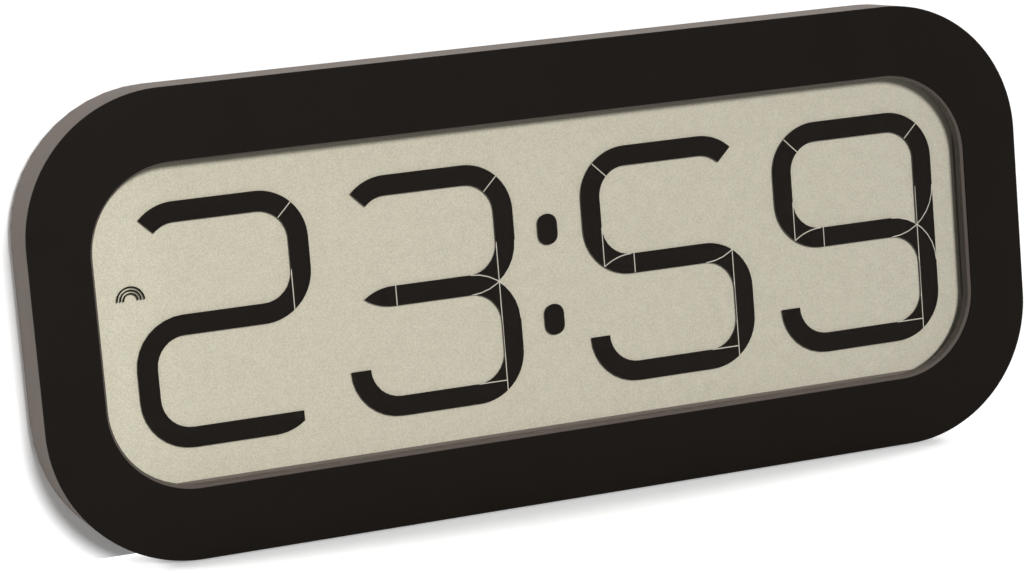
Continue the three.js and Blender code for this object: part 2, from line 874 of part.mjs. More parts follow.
for (const { name, x } of buttons) {
  const half = switchSize / 2;
  const switchFar = boardFar + switchHeight;
  const plungerNear = switchFar - plungerSink;
  put(`switch_${name}`, cut(
    block(x - half, x + half, boardFar, switchFar, buttonZ - half, buttonZ + half),
    round(plungerRadius + boreGap, plungerNear - buttonTravel - fitGap, switchFar + overrun, x, buttonZ),
  ), chipBlack);
  put(`plunger_${name}`, round(plungerRadius, plungerNear, plungerFar, x, buttonZ), trayPlastic);
  put(`button_${name}`, joined(
    round(buttonRadius, flangeNear, buttonFace, x, buttonZ, 4 * medium),
    round(buttonRadius + buttonFlange, flangeNear, flangeFar, x, buttonZ, 4 * medium),
    round(buttonStemRadius, plungerFar + fitGap, flangeFar, x, buttonZ),
  ), blackPlastic);
}

// Slide switch with its knob

const knobStart = slideX - slideTravel / 2;

put("slide_switch", cut(
  block(slideX - slideBodyWidth / 2, slideX + slideBodyWidth / 2, boardFar, boardFar + slideBodyDepth,
    buttonZ - slideBodyHeight / 2, buttonZ + slideBodyHeight / 2),
  block(knobStart - stemWidth / 2 - fitGap, knobStart + slideTravel + stemWidth / 2 + fitGap,
    boardFar + slideBodyDepth / 2, boardFar + slideBodyDepth + overrun,
    buttonZ - stemHeight / 2 - fitGap, buttonZ + stemHeight / 2 + fitGap),
), steel);

put("slide_knob", joined(
  block(knobStart - knobWidth / 2, knobStart + knobWidth / 2, flangeNear, buttonFace,
    buttonZ - knobHeight / 2, buttonZ + knobHeight / 2),
  block(knobStart - knobWidth / 2 - knobFlange, knobStart + knobWidth / 2 + knobFlange,
    flangeFar - knobFlangeThickness, flangeFar,
    buttonZ - knobHeight / 2 - knobFlange, buttonZ + knobHeight / 2 + knobFlange),
  block(knobStart - stemWidth / 2, knobStart + stemWidth / 2,
    boardFar + slideBodyDepth / 2 + fitGap, flangeFar,
    buttonZ - stemHeight / 2, buttonZ + stemHeight / 2),
), blackPlastic);

// Radio receiver: board on the holder's pads, rod in its clip, coil round the rod

put("radio_board", joined(
  block(radioX - radioWidth / 2, radioX + radioWidth / 2, boardNear, boardFar,
    radioZ - radioHeight / 2, radioZ + radioHeight / 2),
  block(radioX - radioChipWidth / 2, radioX + radioChipWidth / 2, boardFar, boardFar + chipHeight,
    radioZ - radioChipHeight / 2, radioZ + radioChipHeight / 2),
), boardGreen);

const rodDepth = holderFar + rodLift + rodRadius;
const coilX = (rodX0 + rodX1) / 2 + coilLength / 2 + clipLength;
put("ferrite_rod", roundAlongX(rodRadius, rodX0, rodX1, rodDepth, rodZ), ferrite);
put("antenna_coil", cut(
  roundAlongX(coilRadius, coilX - coilLength / 2, coilX + coilLength / 2, rodDepth, rodZ),
  roundAlongX(rodRadius + fitGap, coilX - coilLength, coilX + coilLength, rodDepth, rodZ),
), copper);

function antennaClip() {
  const middle = (rodX0 + rodX1) / 2 - clipLength / 2;
  const half = rodRadius + fitGap + clipWall;
  return cut(
    block(middle - clipLength / 2, middle + clipLength / 2, holderFar, rodDepth + clipRise,
      rodZ - half, rodZ + half),
    roundAlongX(rodRadius + fitGap, middle - clipLength, middle + clipLength, rodDepth, rodZ),
    block(middle - clipLength, middle + clipLength, rodDepth, rodDepth + half,
      rodZ - rodRadius + fitGap, rodZ + rodRadius - fitGap),
  );
}

put("antenna_clip", antennaClip(), trayPlastic);

// Buzzer behind the sound slots

put("buzzer", cut(
  round(buzzerRadius, coverInner - buzzerHeight, coverInner - fitGap, soundX, soundZ, 4 * medium),
  round(buzzerHoleRadius, coverInner - buzzerHoleDepth, coverInner, soundX, soundZ),
), chipBlack);

// Battery cells and contacts

const contactX = bayEndX - contactThickness;
const firstNub = contactX - fitGap;
const springX = -contactX;

function cell(nubEnd) {
  const bodyEnd = nubEnd - nubLength;
  return joined(
    roundAlongX(cellRadius, bodyEnd - cellLength, bodyEnd, cellDepth, cellZ, 4 * medium),
    roundAlongX(nubRadius, bodyEnd - overrun, nubEnd, cellDepth, cellZ),
  );
}

put("battery_cell_right", cell(firstNub), cellJacket);
put("battery_cell_left", cell(firstNub - cellLength - nubLength), cellJacket);

function contact(x) {
  return block(x - contactThickness / 2, x + contactThickness / 2,
    cellDepth - contactWidth / 2, cellDepth + contactWidth / 2,
    cellZ - contactWidth / 2, cellZ + contactWidth / 2);
}

class Coil extends THREE.Curve {
  getPoint(t, target = new THREE.Vector3()) {
    const angle = 2 * Math.PI * springTurns * t;
    const start = springX + contactThickness / 2 - springWireRadius / 2;
    return target.set(
      start + (springLength - springWireRadius - fitGap) * t,
      depthToY(cellDepth) + springRadius * Math.cos(angle),
      cellZ + springRadius * Math.sin(angle));
  }
}

put("contact_plate", contact(contactX + contactThickness / 2), steel);
put("contact_spring", joined(
  contact(springX - contactThickness / 2),
  tube(new Coil(), springWireRadius, springStepsPerTurn * springTurns, springSides),
), steel);

// Leads from the contacts to the board, through gaps in the ends of the bay

const leadX = bayEndX + bayWall + leadRadius + fitGap;

function lead(sign) {
  const start = sign * (bayEndX + fitGap);
  const outer = sign * (leadX + bayWall);
  const y = depthToY(leadDepth);
  const route = new THREE.CatmullRomCurve3([
    new THREE.Vector3(start, y, cellZ + leadRise),
    new THREE.Vector3(outer, y, cellZ + leadRise + leadDrift),
    new THREE.Vector3(outer + sign * leadBend, y, cellZ + leadClimb),
    new THREE.Vector3(outer + sign * leadDrift, y, (cellZ + boardBottom) / 2),
    new THREE.Vector3(outer, y, boardBottom - leadApproach),
    new THREE.Vector3(outer - sign * leadDrift, y, boardBottom + leadOverBoard),
  ]);
  return tube(route, leadRadius, leadSteps, leadSides);
}

put("battery_lead_positive", lead(1), redWire);
put("battery_lead_negative", lead(-1), chipBlack);

// Rear cover

function coverBody() {
  const levels = [{ depth: frameDepth + partingGap, points: caseOutline(0) }];
  for (let i = 0; i <= medium; i += 1) {
    const angle = Math.PI / 2 * i / medium;
    levels.push({
      depth: caseDepth - rearEdgeRadius + rearEdgeRadius * Math.sin(angle),
      points: caseOutline(rearEdgeRadius - rearEdgeRadius * Math.cos(angle)),
    });
  }
  const hollowInset = caseWall + fitGap + tongueThickness;
  const tongue = plate(caseOutline(caseWall + fitGap), frameDepth - tongueDepth, coverInner);
  return cut(joined(loft(levels), tongue), plate(caseOutline(hollowInset), 0, coverInner));
}

function keyholeCut(x) {
  const slotHalf = keyholeSlotWidth / 2;
  return joined(
    round(keyholeHeadRadius, coverInner - overrun, caseDepth + overrun, x, keyholeZ, 4 * medium),
    plate(loop(
      point(x - slotHalf, keyholeZ),
      point(x + slotHalf, keyholeZ),
      arc(x, keyholeZ + keyholeSlotLength, slotHalf, 0, 180, coarse),
    ), coverInner - overrun, caseDepth + overrun),
  );
}

function legRecess(x) {
  const half = legWidth / 2 + fitGap;
  const slabHalf = half + rodOverhang + recessWall;
  const slab = block(x - slabHalf, x + slabHalf, recessFloor - recessWall, caseDepth - coverThickness / 2,
    legBottom - fitGap - recessWall / 2, pivotZ + legRadius + fitGap + recessWall);
  const inward = x < 0 ? 1 : -1;
  const fingerEnd = x + inward * (half + fingerWidth);
  const fingerWallEnd = fingerEnd + inward * recessWall;
  const fingerFloor = caseDepth - fingerSink;
  const pocket = joined(
    block(x - half, x + half, recessFloor, caseDepth + overrun,
      legBottom - fitGap, pivotZ + legRadius + fitGap),
    block(Math.min(x, fingerEnd), Math.max(x, fingerEnd), fingerFloor, caseDepth + overrun,
      fingerZ - fingerHeight / 2, fingerZ + fingerHeight / 2),
    roundAlongX(rodWireRadius + boreGap, x - half - rodOverhang, x + half + rodOverhang,
      legPivotDepth, pivotZ),
  );
  const fingerWall = block(Math.min(x, fingerWallEnd), Math.max(x, fingerWallEnd),
    fingerFloor - recessWall, caseDepth - coverThickness / 2,
    fingerZ - fingerHeight / 2 - recessWall, fingerZ + fingerHeight / 2 + recessWall);
  return { wall: joined(slab, fingerWall), pocket };
}

function batteryBay() {
  const jambDepth = doorPivotDepth - pegRadius - boreGap - bayWall;
  const notchFloor = caseDepth - notchSink;
  const notchTop = doorTop + fitGap + notchHeight;
  const wall = joined(
    block(-bayEndX - bayWall, bayEndX + bayWall, bayFloor - bayWall, caseDepth - coverThickness / 2,
      bayBottom - bayWall, bayTop + bayWall),
    block(-notchWidth / 2 - recessWall, notchWidth / 2 + recessWall,
      notchFloor - recessWall, caseDepth - coverThickness / 2, bayTop, notchTop + recessWall),
    ...[-1, 1].map((sign) => {
      const inner = doorHalfWidth + fitGap;
      const outer = inner + pegLength + bayWall;
      return block(Math.min(sign * inner, sign * outer), Math.max(sign * inner, sign * outer),
        jambDepth, caseDepth - coverThickness / 2, bayBottom, doorPivotZ + pegRadius + 2 * bayWall);
    }),
  );
  const doorCut = block(-doorHalfWidth - fitGap, doorHalfWidth + fitGap,
    doorInner - fitGap, caseDepth + overrun, doorBottom - fitGap, doorTop + fitGap);
  const inside = block(-bayEndX, bayEndX, bayFloor, doorInner, bayBottom, bayTop);
  const swingRoom = roundAlongX(Math.hypot(pegSink, doorPivotRadius) + fitGap,
    -doorHalfWidth - fitGap, doorHalfWidth + fitGap, doorPivotDepth, doorPivotZ, 4 * medium);
  const pegBores = roundAlongX(pegRadius + boreGap, -doorHalfWidth - pegLength - 2 * fitGap,
    doorHalfWidth + pegLength + 2 * fitGap, doorPivotDepth, doorPivotZ);
  const thumbRecess = block(
    -notchWidth / 2, notchWidth / 2, notchFloor, caseDepth + overrun, doorTop, notchTop);
  const leadGaps = block(-bayEndX - 2 * bayWall, bayEndX + 2 * bayWall,
    leadDepth - leadRadius - fitGap, leadDepth + leadRadius + fitGap,
    cellZ + leadRise - 2 * leadRadius, cellZ + leadRise + 3 * leadRadius);
  return { wall, pockets: [doorCut, inside, swingRoom, pegBores, thumbRecess, leadGaps] };
}

function rearCover() {
  const bay = batteryBay();
  const legs = [legRecess(-legX), legRecess(legX)];
  const headFloor = caseDepth - headSink - rearHeadHeight;
  const columns = rearScrews.map(
    ([x, z]) => round(columnRadius, bossDepth + fitGap, coverInner + overrun, x, z));
  const panel = roundedRect(panelWidth, panelHeight, panelCornerRadius, 0, buttonZ, coarse);
  const panelWall = roundedRect(
    panelWidth + 2 * coverThickness, panelHeight + 2 * coverThickness, panelCornerRadius, 0, buttonZ, coarse);
  const buzzerRing = round(buzzerRadius + fitGap + buzzerWall,
    coverInner - buzzerHeight, coverInner + overrun, soundX, soundZ, 4 * medium);
  const outside = joined(
    coverBody(), bay.wall, ...legs.map((leg) => leg.wall), ...columns,
    plate(panelWall, panelInner, coverInner + overrun), buzzerRing);
  const screwCuts = rearScrews.flatMap(([x, z]) => [
    round(rearHeadRadius + headRoom, headFloor, caseDepth + overrun, x, z),
    round(rearShankRadius + boreGap, bossDepth, caseDepth + overrun, x, z),
  ]);
  const buttonCuts = buttons.map(({ x }) => round(
    buttonRadius + fitGap, panelInner - overrun, caseDepth + overrun, x, buttonZ, 4 * medium));
  const knobCut = block(
    knobStart - knobWidth / 2 - fitGap, knobStart + slideTravel + knobWidth / 2 + fitGap,
    panelInner - overrun, caseDepth + overrun,
    buttonZ - knobHeight / 2 - fitGap, buttonZ + knobHeight / 2 + fitGap);
  const soundCuts = [];
  for (let i = 0; i < soundSlots; i += 1) {
    const z = soundZ + (i - (soundSlots - 1) / 2) * soundSlotPitch;
    soundCuts.push(block(soundX - soundSlotLength / 2, soundX + soundSlotLength / 2,
      coverInner - overrun, caseDepth + overrun, z - soundSlotWidth / 2, z + soundSlotWidth / 2));
  }
  return cut(
    outside, ...bay.pockets, ...legs.map((leg) => leg.pocket), ...screwCuts,
    plate(panel, panelFloor, caseDepth + overrun), ...buttonCuts, knobCut,
    round(buzzerRadius + fitGap, coverInner - buzzerHeight - overrun, coverInner, soundX, soundZ, 4 * medium),
    ...soundCuts, keyholeCut(-keyholeX), keyholeCut(keyholeX));
}

put("rear_cover", rearCover(), greyPlastic);

const rearScrewNames = ["upper_left", "upper_right", "lower_left", "lower_right", "upper_middle"];
rearScrews.forEach(([x, z], i) => {
  put(`rear_screw_${rearScrewNames[i]}`, screw(
    x, z, caseDepth - headSink - rearHeadHeight, rearHeadRadius, rearHeadHeight,
    rearShankRadius, rearShankLength), steel);
});

// Battery door, turning on its own pegs

function batteryDoor() {
  const profile = loop(
    point(doorInner, doorBottom),
    arc(doorPivotDepth, doorPivotZ, doorPivotRadius, 270, 360),
    point(caseDepth, doorTop),
    point(doorInner, doorTop),
  );
  return joined(
    bar(profile, -doorHalfWidth, doorHalfWidth),
    roundAlongX(pegRadius, -doorHalfWidth - pegLength, doorHalfWidth + pegLength, doorPivotDepth, doorPivotZ),
  );
}

put("battery_door", batteryDoor(), greyPlastic);

// Stand legs and their rods

function standLeg(x) {
  const profile = loop(
    point(legInner, legBottom),
    point(caseDepth, legBottom),
    arc(legPivotDepth, pivotZ, legRadius, 0, 180),
  );
  return cut(
    bar(profile, x - legWidth / 2, x + legWidth / 2),
    roundAlongX(rodWireRadius + legBoreGap, x - legWidth, x + legWidth, legPivotDepth, pivotZ),
  );
}

for (const [side, x] of [["left", -legX], ["right", legX]]) {
  const half = legWidth / 2 + rodOverhang;
  put(`stand_leg_${side}`, standLeg(x), greyPlastic);
  put(`stand_rod_${side}`, roundAlongX(rodWireRadius, x - half, x + half, legPivotDepth, pivotZ), steel);
}

export default clock;
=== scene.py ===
"""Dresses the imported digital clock: smooth case, finishes, small marks, camera, floor and light.

Sizes are in millimetres until a mesh is made. A "depth" is counted from the face towards the back.
"""
import json
import math

import bmesh
import bpy
from mathutils import Matrix, Vector

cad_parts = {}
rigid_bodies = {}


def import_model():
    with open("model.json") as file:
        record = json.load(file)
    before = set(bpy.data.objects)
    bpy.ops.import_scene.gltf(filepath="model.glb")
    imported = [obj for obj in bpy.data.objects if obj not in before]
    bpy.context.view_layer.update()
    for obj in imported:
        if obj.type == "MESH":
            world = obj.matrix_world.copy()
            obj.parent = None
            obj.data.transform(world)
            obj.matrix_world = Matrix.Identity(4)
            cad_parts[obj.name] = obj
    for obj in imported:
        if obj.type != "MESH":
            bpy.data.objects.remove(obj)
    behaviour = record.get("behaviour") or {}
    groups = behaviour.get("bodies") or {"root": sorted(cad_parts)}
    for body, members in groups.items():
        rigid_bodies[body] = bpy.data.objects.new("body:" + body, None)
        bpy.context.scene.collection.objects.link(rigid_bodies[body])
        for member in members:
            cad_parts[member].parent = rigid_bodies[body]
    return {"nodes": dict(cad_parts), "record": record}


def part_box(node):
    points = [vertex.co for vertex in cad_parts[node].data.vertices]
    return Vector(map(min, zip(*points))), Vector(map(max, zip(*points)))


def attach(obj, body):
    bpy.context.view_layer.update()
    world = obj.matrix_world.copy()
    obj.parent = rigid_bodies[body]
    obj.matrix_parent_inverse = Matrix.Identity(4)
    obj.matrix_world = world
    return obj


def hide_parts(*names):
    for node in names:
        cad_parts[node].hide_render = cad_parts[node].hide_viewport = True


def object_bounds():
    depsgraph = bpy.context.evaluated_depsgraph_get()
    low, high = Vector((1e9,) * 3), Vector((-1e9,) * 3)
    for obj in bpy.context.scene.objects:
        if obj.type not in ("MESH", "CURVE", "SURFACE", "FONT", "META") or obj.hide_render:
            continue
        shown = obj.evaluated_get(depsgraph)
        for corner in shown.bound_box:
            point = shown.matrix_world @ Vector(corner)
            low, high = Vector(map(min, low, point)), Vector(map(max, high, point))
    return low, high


MM = 0.001

# Case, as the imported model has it
CASE_WIDTH = 368.0
CASE_HEIGHT = 160.0
CASE_DEPTH = 28.0
CASE_BOTTOM = 0.8
CASE_MIDDLE = CASE_BOTTOM + CASE_HEIGHT / 2
CASE_CORNER = 49.6
CASE_WALL = 2.4
PANEL_DEPTH = 0.6
FRONT_THICKNESS = 2.6
FRAME_DEPTH = 22.4

# Window in the face
WINDOW_WIDTH = 323.9
WINDOW_HEIGHT = 109.1
WINDOW_CORNER = 29.4
WINDOW_MIDDLE = 80.5
WINDOW_BEVEL = 0.9
LIP_DEPTH = 5.3
LIP_WIDTH = 1.6

# Display: corners of the glass, its gap to the numerals, and the depth from which their fine lines are pale
GLASS_CORNER = 1.5
GLASS_CLEARANCE = 0.06
GROOVE_DEPTH = 7.7

# Screw bosses inside the frame: place, outer radius, bore radius, first and last depth
REAR_SCREWS = [(-140, 147.8), (140, 147.8), (-140, 13.8), (140, 13.8), (0, 150.8)]
REAR_BOSS = (4.0, 1.8, 2.0, 20.0)
LUG_SCREWS = [(-174, WINDOW_MIDDLE), (174, WINDOW_MIDDLE)]
LUG_BOSS = (3.2, 1.4, 2.0, 9.4)

# Display sign: three half circles
SIGN_X = -149.0
SIGN_Z = CASE_MIDDLE + 9.4
SIGN_RADII = (2.5, 3.6, 4.7)
SIGN_LINE = 0.5
SIGN_NEAR = 7.6
SIGN_FAR = 7.75

# Marks and grips on the back: how deep they are rooted, and how far prints and ribs rise
BACK_DEPTH = 28.0
MARK_SINK = 0.3
PRINT_RISE = 0.12
RIB_RISE = 0.5

# Width of every bar and rib, and the part of an arrow's size that lies behind its middle
BAR_WIDTH = 0.9
ARROW_FOOT = 0.6

# Printed marks over the buttons and the slide: radii of the ring, size of the arrows, lengths of the bars
BUTTON_XS = (-58, -34, -10, 14)
KNOB_MARK_XS = (44.0, 56.0)
MARK_Z = 114.4
BUTTON_PANEL_DEPTH = 26.6
MARK_RING = (1.6, 1.0)
MARK_ARROW = 1.6
SHORT_BAR = 1.6
LONG_BAR = 3.6

# Ribs: height of the lowest one, length, number
RIB_PITCH = 2.2
DOOR_RIBS = (15.4, 18, 3)
LEG_RIBS = (10.5, 24, 5)
LEG_XS = {"left": -100, "right": 100}

# Arrow on the battery door: place and size
DOOR_ARROW = (0, 12.4, 2.1)

# Rings round the rear screws: outer and inner radius
SCREW_RING = (4.7, 3.9)

# Steps along curves
CORNER_STEPS = 40
GLASS_CORNER_STEPS = 12
CIRCLE_STEPS = 48
SIGN_STEPS = 24
BAR_END_STEPS = 8

# Rounded edges of the scene's own pieces
PANEL_EDGE = 0.08
FRAME_EDGE = 0.12
GLASS_EDGE = 0.1
GRIP_EDGE = 0.2
RING_EDGE = 0.06

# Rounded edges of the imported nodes, by how their names start
ROUNDED = {
    "rear_cover": 0.15, "battery_door": 0.25, "stand_leg": 0.3, "button_": 0.35, "slide_knob": 0.25,
    "rear_screw": 0.2, "foot_": 0.2, "battery_cell": 0.3, "plunger_": 0.15, "switch_": 0.15,
    "contact_plate": 0.05, "buzzer": 0.3, "ferrite_rod": 0.3, "antenna_coil": 0.3, "antenna_clip": 0.2,
    "main_board": 0.1, "radio_board": 0.1, "slide_switch": 0.15, "lcd_holder": 0.15,
}

# What counts as an edge, how finely it is rounded, and how near corners are joined
SHARP_ANGLE = math.radians(31)
EDGE_SEGMENTS = 3
WELD_REACH = 0.001

# Slots of clear sheets, and nodes that don't look like the rest of their slot
CLEAR_SLOTS = ("clear_window", "display_glass")
OWN_LOOKS = {"lcd_edge_seal": "edge_seal"}

# Share of the gloss that the coating of a clear sheet takes away
COATING = 0.003

# Film behind the numerals: how far to each side its painted light falls off, lighter and a little warmer to
# the left, and how wide the painted lighter strip at its left end is, which makes up for the bezel's shade
# there
FILM_PAINTED_FALLOFF_REACH = 160.0
FILM_PAINTED_LIGHT_STRIP = 30.0

# How straight a face looks along an axis, from 0 to 1, where it counts as facing that way
FACING = 0.5
CELL_END_FACING = 0.7

# Camera, fitted to the photograph; its distance and its nearest view are in metres
LENS = 112.38
SENSOR = 36.0
CAMERA_AZIMUTH = -20.303
CAMERA_ELEVATION = 8.553
CAMERA_ROLL = -4.72
CAMERA_DISTANCE = 1.107
NEAREST_VIEW = 0.02
AIM_X = -16.26
AIM_Z = CASE_MIDDLE - 2.16

# Lamps: azimuth, elevation, apparent size in degrees, strength
LAMPS = {
    "front_light": (1.6, 16.5, 12.0, 2.94),
    "left_light": (-100.0, 30.0, 14.0, 2.05),
    "right_light": (100.0, 30.0, 14.0, 2.05),
}

# Light of the sky: level at the horizon and overhead, and what is added behind the clock
DOME_HORIZON = 0.27
DOME_TOP = 0.12
DOME_BEHIND = 1.6

# Backdrop: how white each sheet is, and how much it shines by itself; its reach is in metres
FLOOR_WHITE = (1.0, 0.27)
WALL_WHITE = (0.93, 0.08)
BACKDROP_BOUNCE = 0.25
BACKDROP_REACH = 4.0
WALL_GAP = 0.5

WHITE = (1.0, 1.0, 1.0, 1.0)


# Shapes

def arc(x, z, radius, start, end, steps):
    """Points along an arc from one angle to another, in degrees, with both its ends."""
    points = []
    for step in range(steps + 1):
        angle = math.radians(start + (end - start) * step / steps)
        points.append((x + radius * math.cos(angle), z + radius * math.sin(angle)))
    return points


def circle(x, z, radius):
    """The outline of a circle."""
    return arc(x, z, radius, 0, 360, CIRCLE_STEPS)[:-1]


def rounded_rect(width, height, radius, middle_z, steps=CORNER_STEPS):
    """The outline of a rounded rectangle, starting at the upper right corner."""
    dx = width / 2 - radius
    dz = height / 2 - radius
    points = []
    for corner, (side, rise) in enumerate([(1, 1), (-1, 1), (-1, -1), (1, -1)]):
        start = 90 * corner
        points += arc(side * dx, middle_z + rise * dz, radius, start, start + 90, steps)
    return points


def case_outline(inset):
    """The outline of the case, moved inwards."""
    return rounded_rect(
        CASE_WIDTH - 2 * inset, CASE_HEIGHT - 2 * inset, CASE_CORNER - inset, CASE_MIDDLE)


def window_outline(outset):
    """The outline of the window, moved outwards."""
    return rounded_rect(
        WINDOW_WIDTH + 2 * outset, WINDOW_HEIGHT + 2 * outset, WINDOW_CORNER + outset, WINDOW_MIDDLE)


def half_ring(x, z, radius, width):
    """The outline of a half circle line, open at the bottom."""
    outer = arc(x, z, radius + width / 2, 0, 180, SIGN_STEPS)
    inner = arc(x, z, radius - width / 2, 180, 0, SIGN_STEPS)
    return outer + inner


def bar(x, z, length):
    """The outline of a level bar with round ends."""
    reach = (length - BAR_WIDTH) / 2
    right = arc(x + reach, z, BAR_WIDTH / 2, -90, 90, BAR_END_STEPS)
    left = arc(x - reach, z, BAR_WIDTH / 2, 90, 270, BAR_END_STEPS)
    return right + left


def arrow(x, z, size, up):
    """The outline of a triangle that points up or down."""
    rise = size if up else -size
    foot = z - rise * ARROW_FOOT
    points = [(x - size, foot), (x + size, foot), (x, z + rise)]
    return points if up else points[::-1]


def y_at(depth):
    """Where a depth lies along Y, in metres."""
    return (depth - CASE_DEPTH / 2) * MM


def add_loop(mesh, points, depth):
    """Adds the corners of an outline at a depth."""
    return [mesh.verts.new((x * MM, y_at(depth), z * MM)) for x, z in points]


def add_rings(mesh, rings):
    """Adds a closed band of faces through outlines of equal length, each given as (points, depth)."""
    loops = [add_loop(mesh, points, depth) for points, depth in rings]
    for i, loop in enumerate(loops):
        after = loops[(i + 1) % len(loops)]
        for j in range(len(loop)):
            k = (j + 1) % len(loop)
            mesh.faces.new((loop[j], loop[k], after[k], after[j]))


def add_tube(mesh, x, z, radius, bore, near, far):
    """Adds a tube between two depths."""
    add_rings(mesh, [
        (circle(x, z, bore), near),
        (circle(x, z, radius), near),
        (circle(x, z, radius), far),
        (circle(x, z, bore), far),
    ])


def add_prism(mesh, points, near, far):
    """Adds an upright prism with that outline between two depths."""
    front = add_loop(mesh, points, near)
    back = add_loop(mesh, points, far)
    mesh.faces.new(front)
    mesh.faces.new(back[::-1])
    for j in range(len(points)):
        k = (j + 1) % len(points)
        mesh.faces.new((front[j], back[j], back[k], front[k]))


def add_ribs(mesh, x, lowest, length, count):
    """Adds level ribs for a finger to the back, one over the other."""
    for i in range(count):
        add_prism(mesh, bar(x, lowest + RIB_PITCH * i, length), BACK_DEPTH - MARK_SINK, BACK_DEPTH + RIB_RISE)


def add_object(name, data):
    """Adds an object to the scene."""
    thing = bpy.data.objects.new(name, data)
    bpy.context.scene.collection.objects.link(thing)
    return thing


def round_edges(piece, edge):
    """Rounds the sharp edges of a piece and keeps its flat faces flat."""
    if edge:
        bevel = piece.modifiers.new("round", "BEVEL")
        bevel.width = edge * MM
        bevel.segments = EDGE_SEGMENTS
        bevel.limit_method = "ANGLE"
        bevel.angle_limit = SHARP_ANGLE
        bevel.use_clamp_overlap = True
    normals = piece.modifiers.new("even", "WEIGHTED_NORMAL")
    normals.mode = "FACE_AREA"
    normals.weight = 100


def shade_smoothly(data):
    """Shades the faces of a mesh as parts of one curve."""
    for face in data.polygons:
        face.use_smooth = True


def finish_piece(name, mesh, edge, body, slot, look=None):
    """Turns a bmesh into a piece with rounded edges that rides on a body, with the slot's look or its own."""
    bmesh.ops.recalc_face_normals(mesh, faces=mesh.faces)
    data = bpy.data.meshes.new(name)
    mesh.to_mesh(data)
    mesh.free()
    shade_smoothly(data)
    piece = add_object(name, data)
    round_edges(piece, edge)
    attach(piece, body)
    data.materials.append(finishes[look or slot])
    return piece


# Colours and nodes for the finishes

def linear(red, green, blue):
    """A colour that is given in 8-bit screen values, as Blender's nodes want it."""
    def part(value):
        share = value / 255
        return share / 12.92 if share <= 0.04045 else ((share + 0.055) / 1.055) ** 2.4
    return (part(red), part(green), part(blue), 1.0)


def scaled(colour, share):
    """A lighter or darker colour."""
    return (colour[0] * share, colour[1] * share, colour[2] * share, 1.0)


class Nodes:
    """A node tree, with short ways to add what most trees need."""

    def __init__(self, tree, kind_of_output):
        self.tree = tree
        self.tree.nodes.clear()
        self.output = self.add(kind_of_output)
        self.place = self.add("ShaderNodeTexCoord")

    def put(self, value, socket):
        """Gives an input a plain number or colour, or links it to an output."""
        if isinstance(value, bpy.types.NodeSocket):
            self.tree.links.new(value, socket)
        else:
            socket.default_value = value

    def add(self, kind, **values):
        """Adds a node and fills inputs by name, with _ for a space."""
        node = self.tree.nodes.new(kind)
        for name, value in values.items():
            self.put(value, node.inputs[name.replace("_", " ")])
        return node

    def maths(self, operation, first, second):
        """Works out a sum or the like of two values."""
        node = self.add("ShaderNodeMath")
        node.operation = operation
        self.put(first, node.inputs[0])
        self.put(second, node.inputs[1])
        return node.outputs["Value"]

    def span(self, value, low, high, start=0.3, end=0.7):
        """Maps a value from start and end to low and high."""
        node = self.add("ShaderNodeMapRange", Value=value)
        for socket, limit in (("From Min", start), ("From Max", end), ("To Min", low), ("To Max", high)):
            self.put(limit, node.inputs[socket])
        return node.outputs["Result"]

    def axis(self, output, letter):
        """One part of a place or a normal."""
        return self.add("ShaderNodeSeparateXYZ", Vector=self.place.outputs[output]).outputs[letter]

    def noise(self, scale, detail=2.0, stretch=None):
        """Soft noise in the object's own space."""
        place = self.place.outputs["Object"]
        if stretch:
            place = self.add("ShaderNodeMapping", Vector=place, Scale=stretch).outputs["Vector"]
        return self.add("ShaderNodeTexNoise", Vector=place, Scale=scale, Detail=detail).outputs["Fac"]

    def wave(self, letter, **values):
        """Bands that follow one another along an axis."""
        node = self.add("ShaderNodeTexWave", Vector=self.place.outputs["Object"], **values)
        node.bands_direction = letter
        return node.outputs["Fac"]

    def blend(self, factor, first, second):
        """Mixes two colours."""
        node = self.add("ShaderNodeMix")
        node.data_type = "RGBA"
        self.put(factor, node.inputs["Factor"])
        colours = [socket for socket in node.inputs if socket.type == "RGBA"]
        self.put(first, colours[0])
        self.put(second, colours[1])
        return next(socket for socket in node.outputs if socket.type == "RGBA")

    def bump(self, height, depth):
        """A relief of this depth in millimetres."""
        return self.add("ShaderNodeBump", Height=height, Strength=1.0, Distance=depth * MM).outputs["Normal"]

    def mix(self, factor, first, second):
        """Mixes two shaders."""
        node = self.add("ShaderNodeMixShader")
        for value, socket in zip((factor, first, second), node.inputs):
            self.put(value, socket)
        return node.outputs["Shader"]

    def seen_directly(self):
        """1 for rays that look straight at a thing, or see it in a reflection or through glass."""
        path = self.add("ShaderNodeLightPath")
        mirrored = self.maths("MAXIMUM", path.outputs["Is Camera Ray"], path.outputs["Is Glossy Ray"])
        return self.maths("MAXIMUM", mirrored, path.outputs["Is Transmission Ray"])

    def end(self, shader):
        """Makes a shader the result of the tree."""
        self.put(shader, self.output.inputs["Surface"])


class Finish(Nodes):
    """The nodes of a new material."""

    def __init__(self, name):
        self.material = bpy.data.materials.new(name)
        self.material.use_nodes = True
        super().__init__(self.material.node_tree, "ShaderNodeOutputMaterial")

    def principled(self, **values):
        """The finished material, with Blender's standard shader."""
        self.end(self.add("ShaderNodeBsdfPrincipled", **values).outputs["BSDF"])
        return self.material


